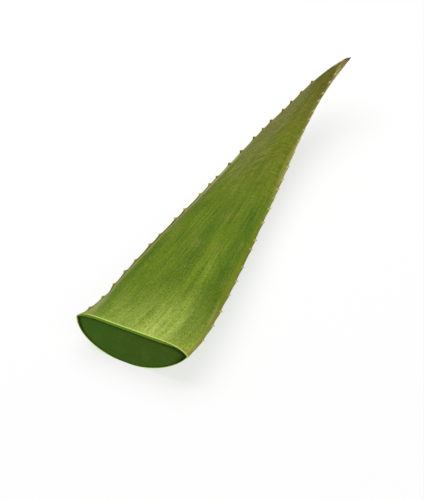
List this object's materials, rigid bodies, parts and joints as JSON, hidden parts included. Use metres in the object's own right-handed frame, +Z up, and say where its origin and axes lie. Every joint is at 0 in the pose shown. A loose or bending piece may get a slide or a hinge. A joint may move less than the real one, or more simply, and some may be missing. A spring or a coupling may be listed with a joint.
{
  "type": "aloe vera leaf",
  "caption": "Picked aloe vera leaf lying on its keel: thick tapering blade with a cut foot, a channelled hooked tip and small prickles along both margins.",
  "frame": {"origin": "under the middle of the leaf's box, on the surface that the leaf lies on", "axes": "+Y along the leaf from its cut foot to its tip, +X across it to the right seen from the foot, +Z up"},
  "size_m": [0.0886, 0.428, 0.0453],
  "materials": {
    "leaf_skin": "waxy satin green rind with fine lengthwise fibres, paler toward the cut foot and olive toward the tip",
    "cut_gel": "moist flat cut face of dark green gel, with the rind's paler cut edge round it",
    "prickle": "hard pale yellow prickle, brown at its point"
  },
  "bodies": {
    "root": {"leaf": "leaf_skin"}
  },
  "joints": []
}
